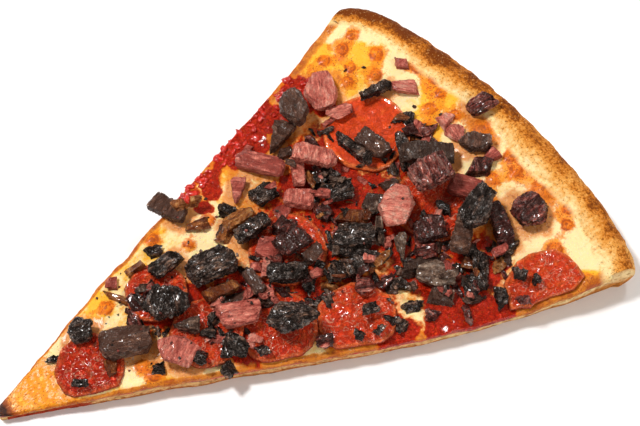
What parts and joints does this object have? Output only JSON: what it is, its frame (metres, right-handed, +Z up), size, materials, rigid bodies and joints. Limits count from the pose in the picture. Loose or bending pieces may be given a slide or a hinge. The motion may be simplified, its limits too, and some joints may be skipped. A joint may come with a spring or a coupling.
{
  "type": "pizza slice",
  "caption": "Large triangular slice of thin pizza with a browned rim, melted cheese, tomato sauce, pepperoni and chopped ham, bacon and beef.",
  "frame": {"origin": "middle of the slice's bounding box at the flat underside", "axes": "+X from the tip to the middle of the rim, +Y to the left cut edge, +Z up"},
  "size_m": [0.2146, 0.1447, 0.0253],
  "materials": {
    "crust": "baked dough: matt, browned and blistered on the rim, pale and floury below",
    "sauce": "cooked tomato sauce, wet and red",
    "cheese": "melted cheese, cream to yellow with orange blisters and red oil",
    "pepperoni": "oily orange-red sausage with a darker edge",
    "ham": "pink cooked ham with a fine grain",
    "bacon": "purple-red cured meat with darker edges",
    "brisket": "nearly black smoked beef with a rough bark",
    "beef": "dark brown fibrous roast beef",
    "mushroom": "grey-brown fried mushroom",
    "onion": "brown fried onion, slightly see-through"
  },
  "bodies": {
    "root": {"bacon_1": "bacon", "bacon_2": "bacon", "bacon_3": "bacon", "bacon_4": "bacon", "bacon_5": "bacon", "bacon_6": "bacon", "beef_1": "beef", "beef_2": "beef", "beef_3": "beef", "beef_4": "beef", "beef_5": "beef", "beef_6": "beef", "beef_7": "beef", "beef_8": "beef", "brisket_1": "brisket", "brisket_10": "brisket", "brisket_11": "brisket", "brisket_12": "brisket", "brisket_13": "brisket", "brisket_14": "brisket", "brisket_15": "brisket", "brisket_16": "brisket", "brisket_2": "brisket", "brisket_3": "brisket", "brisket_4": "brisket", "brisket_5": "brisket", "brisket_6": "brisket", "brisket_7": "brisket", "brisket_8": "brisket", "brisket_9": "brisket", "cheese": "cheese", "crust": "crust", "ham_1": "ham", "ham_10": "ham", "ham_11": "ham", "ham_2": "ham", "ham_3": "ham", "ham_4": "ham", "ham_5": "ham", "ham_6": "ham", "ham_7": "ham", "ham_8": "ham", "ham_9": "ham", "mushroom_1": "mushroom", "mushroom_2": "mushroom", "mushroom_3": "mushroom", "mushroom_4": "mushroom", "mushroom_5": "mushroom", "onion_1": "onion", "onion_2": "onion", "pepperoni_1": "pepperoni", "pepperoni_2": "pepperoni", "pepperoni_3": "pepperoni", "pepperoni_4": "pepperoni", "pepperoni_5": "pepperoni", "pepperoni_6": "pepperoni", "pepperoni_7": "pepperoni", "pepperoni_8": "pepperoni", "pepperoni_9": "pepperoni", "sauce": "sauce"}
  },
  "joints": []
}
